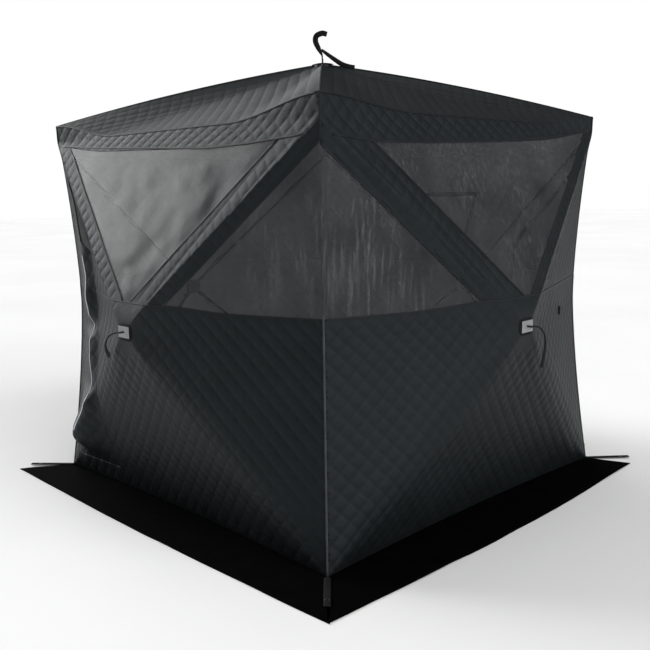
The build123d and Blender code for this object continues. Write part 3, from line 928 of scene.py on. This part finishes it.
def add_roof_panel(wall):
    bm = quilt_sheet(half_eave, -half_eave, 0.0)
    ridges = [((0.0, 0.0), (side / sqrt(2), -1 / sqrt(2))) for side in (-1, 1)]
    edge = from_height(-half_eave)
    cut_pattern(bm, ridges + [edge])

    def place(x, y):
        nearest = min(abs(depth_in(seam, x, y)) for seam in ridges + [edge])
        lift = quilt_depth * (pillow(x, y) - quilt_level) * smooth(0.0, quilt_fade, nearest)
        return roof_point(wall, x, y, lift)

    piece = shaped(f"{wall}_roof_quilt", bm, place)
    thicken(piece, quilt_thickness, quilt_material, lining_material)
    sewn_quilt(piece, f"{wall}_roof_panel")


# Door flap, sewn along the corner and bulging along its zip

flap_bulges = (  # height, and how far the zip stands off the wall there
    (0.1, 0.0), (0.24, 0.080), (0.395, 0.048), (0.495, 0.010), (0.63, 0.027), (0.69, 0.028),
    (0.755, 0.003), (0.815, 0.032), (0.88, 0.040), (0.99, 0.028), (1.06, 0.032), (1.4, 0.01),
)
door_band = 0.074  # from the pole line to the flap's slanting top edge
flap_top = along_pole(-1, -door_band, False)
flap_edges = [right_of(door_sewn_x), left_of(door_zip_x), from_height(door_sill), flap_top]
white_zip_low, white_zip_high = 0.27, 1.07
top_zip_inset = 0.006
back_zip_depth = 0.0055  # how far the inner tape of the back door's zip lies behind the wall's face
back_zip_route = (  # across and up the back wall
    (-0.79, 1.40), (-0.647, 1.262), (-0.476, 1.112), (-0.42, 1.03), (-0.40, 0.95), (-0.395, 0.12),
)


def flap_bulge(z):
    """How far the flap stands off the wall along its zip at a height."""
    for (low, start), (high, end) in zip(flap_bulges, flap_bulges[1:]):
        if z <= high:
            return start + (end - start) * smooth(low, high, z)
    return flap_bulges[-1][1]


def zip_share(z):
    """Place of the zip across the flap, which lies further back where the hem is folded."""
    return 0.48 + 0.33 * smooth(0.22, 0.46, z)


def zip_x(z):
    return door_sewn_x + zip_share(z) * (door_zip_x - door_sewn_x)


def flap_point(turn, x, z, lift):
    """A point of the door flap, over the wall that it closes."""
    share = max(0.0, (x - door_sewn_x) / (door_zip_x - door_sewn_x))
    crest = smooth(0.0, zip_share(z), share) * (1 - smooth(zip_share(z), 1.0, share))
    return wall_point(turn, x, z, lift + flap_bulge(z) * crest)


def add_door_flap():
    bm = wall_pattern(door_sill, pole_height, flap_edges, base_creases)

    def place(x, z):
        return flap_point(WALLS["front"], x, z, quilt_lift(x, z, flap_edges))

    piece = thicken(shaped("door_quilt", bm, place), quilt_thickness)
    dressed(piece, "bending door", "quilted_fabric", quilt_material, "door_flap")
    declared(piece)


def flap_top_height(x):
    point, normal = flap_top
    return point[1] - (x - point[0]) * normal[0] / normal[1]


def add_door_zips():
    """White zip down the door flap, black zip along its top, and the back door's black zip."""
    front, back = WALLS["front"], WALLS["back"]
    edge = []
    steps = 80
    for i in range(steps + 1):
        z = white_zip_low + (white_zip_high - white_zip_low) * i / steps
        width_share = 0.5 + 0.5 * smooth(0.72, 0.8, z)
        x = zip_x(z)
        edge.append((flap_point(front, x, z, tape_lift), wall_normal(front, x, z), width_share))
    white_zip = strip_mesh("door_edge_zip", [edge], *strip_sizes["white_zip"])
    dressed(white_zip, "door", "zip_tape", white_zip_material)
    ends = [(x, flap_top_height(x) - top_zip_inset) for x in (zip_x(white_zip_high), door_sewn_x)]
    top_zip = strip_mesh("door_top_zip", [wall_run(front, *ends, 0.02, flap_point)], *strip_sizes["top_zip"])
    dressed(top_zip, "bending door", "zip_tape", black_zip_material)
    route = smooth_path([Vector((x, z, 0)) for x, z in back_zip_route], 60)
    inside = [(wall_point(back, p.x, p.y, -back_zip_depth), -wall_normal(back, p.x, p.y)) for p in route]
    outside = [(wall_point(back, p.x, p.y, tape_lift), wall_normal(back, p.x, p.y)) for p in route]
    back_zip = strip_mesh("back_door_zip", [inside, outside], *strip_sizes["back_zip"])
    dressed(back_zip, "shell", "zip_tape", black_zip_material)


# Seam tapes and piping

binding_reach = 0.84  # how far out the window's upper binding runs
piping_foot = 0.004
eave_tilt = 0.8  # upward lean of the eave's binding


def add_wall_tapes(wall):
    """Bound edges of a wall's window and of the corner window beside it."""
    turn = WALLS[wall]
    near = 1 if wall == "front" else -1
    sill_far = door_zip_x if wall == "front" else corner_half(seam_height)
    runs = [wall_run(turn, (sill_far, seam_height), (near * corner_half(seam_height), seam_height))]
    ends = [Vector(end) for end in window_tops[wall]]
    runs.append([entry for a, b in zip(ends, ends[1:]) for entry in wall_run(turn, a, b)[:-1]])
    runs[-1] = [entry for entry in runs[-1] if abs(turned(-turn, entry[0]).x) < binding_reach]
    for side in (-1, 1):
        above_width, below_width = sleeve_widths[wall][side]
        low = pole_point(side, seam_height, above_width)
        runs.append(wall_run(turn, low, pole_point(side, panel_top, above_width)))
        if side == near:
            low = pole_point(side, seam_height, -below_width)
            meeting = corner_meeting(-below_width)
            runs.append(wall_run(turn, low, (side * corner_half(meeting), meeting)))
    piece = strip_mesh(f"{wall}_window_binding", runs, *strip_sizes["window_binding"])
    dressed(piece, "shell", "quilted_fabric", tape_material)


def corner_run(turn, low, high):
    run = []
    count = ceil((high - low) / 0.02)
    for i in range(count + 1):
        z = low + (high - low) * i / count
        half = corner_half(z)
        run.append((turned(turn, (half, -half, z)), turned(turn, (1, -1, 0)).normalized()))
    return run


def add_corner_piping():
    """Light piping up the corner edges of the lower walls."""
    runs = [corner_run(turn, piping_foot, seam_height) for turn in WALLS.values()]
    piece = strip_mesh("corner_piping", runs, *strip_sizes["piping"])
    dressed(piece, "shell", "quilted_fabric", piping_material)


def add_edge_binding():
    """Bound seams at the upper corners, along the eaves and down the roof ridges."""
    runs = []
    film_apex = corner_meeting(-sleeve_widths["front"][1][1])
    count = 60
    for wall, turn in WALLS.items():
        runs.append(corner_run(turn, film_apex if wall == "front" else seam_height, corner_height))
        facing = turned(turn, (0, -1, eave_tilt)).normalized()
        places = [half_eave * (2 * i / count - 1) for i in range(count + 1)]
        runs.append([(wall_point(turn, x, eave_height(wall, x)), facing) for x in places])
        places = [-half_eave * i / count for i in range(count + 1)]
        runs.append([(roof_point(wall, -y, y), Vector((0, 0, 1))) for y in places])
    piece = strip_mesh("edge_binding", runs, *strip_sizes["edge_binding"])
    dressed(piece, "shell", "quilted_fabric", tape_material)


# Hub patches, pull straps and ground tabs

patch_half = (0.050, 0.036)
patch_thickness = 0.002
patch_lift, patch_crown = 0.0005, 0.0012
patch_corner_share = 0.16  # how far the patch's corners are drawn in
roof_patch_flat, roof_patch_fall = 0.03, 0.12
long_strap = (  # across, out and up from the hub
    (0.0, 0.012, 0.0), (0.03, 0.016, -0.002), (0.07, 0.017, -0.016), (0.104, 0.015, -0.05),
    (0.112, 0.013, -0.095), (0.104, 0.012, -0.14), (0.092, 0.012, -0.178),
)
short_strap = (
    (0.0, 0.012, 0.0), (0.03, 0.016, -0.004), (0.07, 0.017, -0.016), (0.104, 0.015, -0.038),
    (0.122, 0.013, -0.066), (0.118, 0.011, -0.092), (0.10, 0.010, -0.108),
)
strap_sides = {"front": -1, "right": 1, "back": -1, "left": 1}
strap_foot = apex_height + 0.02
roof_strap_hook = (  # along the roof strap's plane, height and share of the width
    (0.022, 2.042, 0.9), (0.0, 2.047, 1.0), (-0.026, 2.036, 1.0), (-0.031, 2.012, 1.0),
    (-0.02, 1.985, 0.9), (-0.008, 1.962, 0.6), (-0.002, 1.948, 0.3), (-0.001, strap_foot, 0.25),
)
roof_strap_leg = (
    (-0.004, 1.975, 0.4), (0.012, 1.962, 0.6), (0.05, 1.934, 0.8),
    (0.09, 1.908, 0.9), (0.122, 1.897, 0.9), (0.148, 1.892, 0.9),
)
path_steps = 40
toggle_ends = ((0.515, 0.772), (0.525, 0.806))
tab_seam_gap, tab_end_gap = 0.004, 0.01
tab_lift, tab_wave = 0.001, 0.004
eyelet_inset = 0.052  # from the tab's end to the eyelet's middle
eyelet_radius, eyelet_height = 0.0078, 0.0078
eyelet_bead = (0.0024, 0.0014)  # half width and half height of the rolled rim


def add_hub_patches():
    """Reinforcing patches sewn over the hubs, rounded at the corners."""
    bm = bmesh.new()
    layer = bm.loops.layers.uv.new("pattern")
    count = 14
    for turn in [*WALLS.values(), None]:
        grid = {}
        for i in range(count + 1):
            for j in range(count + 1):
                a, b = 2 * i / count - 1, 2 * j / count - 1
                pull = 1 - patch_corner_share * (a * a * b * b)
                x, z = a * pull * patch_half[0], b * pull * patch_half[1]
                rim = patch_lift + patch_crown * smooth(0.0, 0.12, 1 - max(abs(a), abs(b)))
                if turn is None:
                    fall = roof_patch_fall * max(0.0, sqrt(x * x + z * z) - roof_patch_flat)
                    point = Vector((x, z, apex_height + rim - fall))
                else:
                    point = wall_point(turn, x, hub_height + z, rim)
                grid[i, j] = bm.verts.new(point)
        for i in range(count):
            for j in range(count):
                ends = ((i, j), (i + 1, j), (i + 1, j + 1), (i, j + 1))
                face = bm.faces.new([grid[end] for end in ends])
                for loop, (a, b) in zip(face.loops, ends):
                    loop[layer].uv = (a / count * 2 * patch_half[0], b / count * 2 * patch_half[1])
    piece = thicken(smooth_piece("hub_patch_cloth", bm), patch_thickness)
    dressed(piece, "shell", "patch_fabric", patch_material, "hub_patches")


def add_wall_straps():
    """Pull strap of each hub, which leaves the stud sideways as a narrow tail and widens as it hangs."""
    runs = []
    for wall, turn in WALLS.items():
        side, route = strap_sides[wall], short_strap if wall == "front" else long_strap
        points = [turned(turn, (side * a, -(hub_flat + out), hub_height + up)) for a, out, up in route]
        path = smooth_path(points, path_steps)
        facing = turned(turn, (0, -1, 0))
        shares = [0.22 + 0.78 * smooth(0.4, 0.95, i / path_steps) for i in range(path_steps + 1)]
        runs.append([(p, facing, share) for p, share in zip(path, shares)])
    piece = strip_mesh("wall_strap_webbing", runs, *strip_sizes["strap"])
    dressed(piece, "shell", "webbing", webbing_material, "wall_pull_straps")


def add_roof_strap():
    """Roof pull strap: one end stands up and hooks over, the other lies down the roof."""
    along, facing = Vector((1, 1, 0)).normalized(), Vector((1, -1, 0)).normalized()
    runs = []
    for route in (roof_strap_hook, roof_strap_leg):
        path = smooth_path([along * a + Vector((0, 0, z)) for a, z, _ in route], path_steps)
        shares = smooth_path([Vector((share, 0, 0)) for _, _, share in route], path_steps)
        runs.append([(p, facing, share.x) for p, share in zip(path, shares)])
    piece = strip_mesh("roof_strap_webbing", runs, *strip_sizes["strap"])
    dressed(piece, "shell", "webbing", webbing_material, "roof_pull_strap")


def add_toggle():
    """Small dark toggle on the right wall."""
    run = wall_run(WALLS["right"], *toggle_ends, 0.006)
    toggle = strip_mesh("right_wall_toggle", [run], *strip_sizes["toggle"])
    dressed(toggle, "shell", "webbing", webbing_material)


def add_ground_tabs():
    """Webbing tab at each ground corner."""
    runs = []
    start, end = half_base * sqrt(2) + tab_seam_gap, tab_high.x * sqrt(2) - tab_end_gap
    steps = 24
    for turn in WALLS.values():
        out = turned(turn, (1, -1, 0)).normalized()
        run = []
        for i in range(steps + 1):
            along = start + (end - start) * i / steps
            wave = tab_wave * smooth(0.0, 0.05, along - start) * (1 + sin(9 * along)) / 2
            run.append((out * along + Vector((0, 0, tab_low.z + tab_lift + wave)), Vector((0, 0, 1))))
        runs.append(run)
    piece = strip_mesh("ground_tab_webbing", runs, *strip_sizes["strap"])
    dressed(piece, "shell", "webbing", webbing_material, "ground_tabs")


def add_eyelets():
    """Rolled metal eyelet in each ground tab."""
    bm = bmesh.new()
    around, across = 24, 8
    swings = [2 * pi * j / across for j in range(across)]
    for wall_turn in WALLS.values():
        centre = turned(wall_turn, (1, -1, 0)).normalized() * (tab_high.x * sqrt(2) - eyelet_inset)
        circles = []
        for i in range(around):
            turn = Matrix.Rotation(2 * pi * i / around, 3, "Z")
            circle = []
            for swing in swings:
                x = eyelet_radius + eyelet_bead[0] * cos(swing)
                z = eyelet_height + eyelet_bead[1] * sin(swing)
                circle.append(bm.verts.new(centre + turn @ Vector((x, 0, z))))
            circles.append(circle)
        for i in range(around):
            for j in range(across):
                a, b, k = circles[i], circles[(i + 1) % around], (j + 1) % across
                bm.faces.new((a[j], b[j], b[k], a[k]))
    bmesh.ops.recalc_face_normals(bm, faces=bm.faces[:])
    dressed(smooth_piece("ground_tab_eyelets", bm), "shell", "webbing", metal_material)


# Snow skirt

skirt_corners = {
    "front": ((-1.038, -1.12), (1.13, -1.118)),
    "right": ((-1.118, -1.122), (0.968, -1.102)),
    "back": ((-0.79, -1.1), (1.12, -1.12)),
    "left": ((-1.12, -1.12), (0.78, -1.1)),
}
skirt_bows = {"front": 0.018, "right": 0.034, "back": 0.02, "left": 0.02}
skirt_tuck = 0.016
skirt_thickness = 0.002
skirt_level, skirt_wave = 0.0025, 0.006
skirt_edge_wave = 0.004


def add_skirt(wall):
    """Strip of cloth that lies on the ground, a little wavy at its free edge."""
    turn = WALLS[wall]
    bm = bmesh.new()
    layer = bm.loops.layers.uv.new("pattern")
    (left_x, left_y), (right_x, right_y) = skirt_corners[wall]
    columns, rows = 120, 14
    grid = {}
    for i in range(columns + 1):
        share = i / columns
        inner_x = half_base * (2 * share - 1)
        inner = Vector((inner_x, skirt_tuck - wall_reach(inner_x, ground_gap)))
        outer = Vector((left_x + (right_x - left_x) * share, left_y + (right_y - left_y) * share))
        edge_wave = skirt_edge_wave * noise.noise(Vector((outer.x * 4, turn, 3.3)))
        outer.y -= skirt_bows[wall] * sin(pi * share) + edge_wave
        for j in range(rows + 1):
            x, y = inner.lerp(outer, j / rows)
            free = smooth(0.1, 1.0, j / rows)
            wave = noise.noise(Vector((x * 5, y * 7, turn + 0.5)))
            height = skirt_level + skirt_wave * free * max(0.0, wave)
            grid[i, j] = bm.verts.new(turned(turn, (x, y, height)))
    for i in range(columns):
        for j in range(rows):
            face = bm.faces.new((grid[i, j], grid[i, j + 1], grid[i + 1, j + 1], grid[i + 1, j]))
            for loop in face.loops:
                loop[layer].uv = loop.vert.co.xy
    piece = thicken(smooth_piece(f"{wall}_snow_skirt", bm), skirt_thickness)
    dressed(piece, "shell", "skirt_fabric", skirt_material, f"{wall}_skirt")
    declared(piece)


# All the pieces

for wall_name in WALLS:
    add_lower_wall(wall_name)
    add_valance(wall_name)
    add_roof_panel(wall_name)
    if wall_name in WINDOW_WALLS:
        add_bands(wall_name)
        add_window(wall_name)
    else:
        add_upper_panel(wall_name)
    if (wall_name, NEXT_WALL[wall_name]) == WINDOW_WALLS:
        add_corner_window(wall_name)
    else:
        add_corner_panel(wall_name)
add_door_flap()
for wall_name in WINDOW_WALLS:
    add_wall_tapes(wall_name)
add_corner_piping()
add_edge_binding()
add_hub_patches()
add_door_zips()
add_wall_straps()
add_roof_strap()
add_toggle()
add_ground_tabs()
add_eyelets()
for wall_name in WALLS:
    add_skirt(wall_name)


# Finishes of the CAD nodes that stay in view

for node_name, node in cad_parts.items():
    if node_name.endswith("_hub") or node_name.endswith("_cups"):
        finish = plastic_material
    elif node_name.endswith("_poles"):
        finish = rod_material
    elif node_name == "hub_reflectors":
        finish = plate_material
    elif node_name == "vent_zip":
        finish = black_zip_material
    else:
        continue
    node.data.materials.clear()
    node.data.materials.append(finish)


# Floor, light and camera


floor_half = 40.0
floor_drop = 0.001
suns = {  # direction, width in degrees and strength
    "key": ((-0.89, -0.28, 0.37), 30, 2.3),
    "roof": ((-0.88, 0.26, 0.40), 40, 0.7),
    "fill": ((0.9, 0.06, 0.4), 60, 2.4),
    "top": ((0.0, 0.0, 1.0), 70, 1.2),
}


def add_floor():
    mesh = bpy.data.meshes.new("ground")
    corners = ((-1, -1), (1, -1), (1, 1), (-1, 1))
    mesh.from_pydata([(a * floor_half, b * floor_half, -floor_drop) for a, b in corners], [], [(0, 1, 2, 3)])
    floor = bpy.data.objects.new("ground", mesh)
    bpy.context.collection.objects.link(floor)
    pale, paler = (0.86, 0.86, 0.86), (0.9, 0.9, 0.9)
    mesh.materials.append(solid_surface("studio_floor", pale, paler, 0.4, (0.9, 0.95), 0.0))


def add_sun(name, direction, angle, strength):
    """Soft light from a wide disc of sky, the same everywhere."""
    light = bpy.data.lights.new(name, "SUN")
    light.energy = strength
    light.angle = radians(angle)
    lamp = bpy.data.objects.new(name, light)
    bpy.context.collection.objects.link(lamp)
    lamp.rotation_euler = Vector(direction).to_track_quat("Z", "Y").to_euler()


def add_world():
    """White behind the object, and an even soft light."""
    world = bpy.data.worlds.new("studio")
    bpy.context.scene.world = world
    world.use_nodes = True
    tree = world.node_tree
    backdrop = tree.nodes["Background"]
    soft = tree.nodes.new("ShaderNodeBackground")
    for background, strength in ((backdrop, 1.0), (soft, 0.05)):
        background.inputs["Color"].default_value = (1, 1, 1, 1)
        background.inputs["Strength"].default_value = strength
    ray = tree.nodes.new("ShaderNodeLightPath")
    mix = tree.nodes.new("ShaderNodeMixShader")
    tree.links.new(ray.outputs["Is Camera Ray"], mix.inputs[0])
    tree.links.new(soft.outputs[0], mix.inputs[1])
    tree.links.new(backdrop.outputs[0], mix.inputs[2])
    tree.links.new(mix.outputs[0], tree.nodes["World Output"].inputs["Surface"])


def add_camera():
    camera = bpy.data.objects.new("camera", bpy.data.cameras.new("camera"))
    bpy.context.collection.objects.link(camera)
    turn = Matrix.Rotation(camera_azimuth, 4, "Z")
    tilt = Matrix.Rotation(radians(90) - camera_pitch, 4, "X")
    roll = Matrix.Rotation(camera_roll, 4, "Z")
    place = turn @ Vector((camera_side, -camera_distance, camera_height))
    camera.matrix_world = Matrix.Translation(place) @ turn @ tilt @ roll
    camera.data.lens = camera_lens
    camera.data.sensor_width = 36
    bpy.context.scene.camera = camera


add_floor()
add_world()
for sun_name, values in suns.items():
    add_sun(sun_name, *values)
add_camera()
bpy.context.scene.view_settings.view_transform = "Standard"
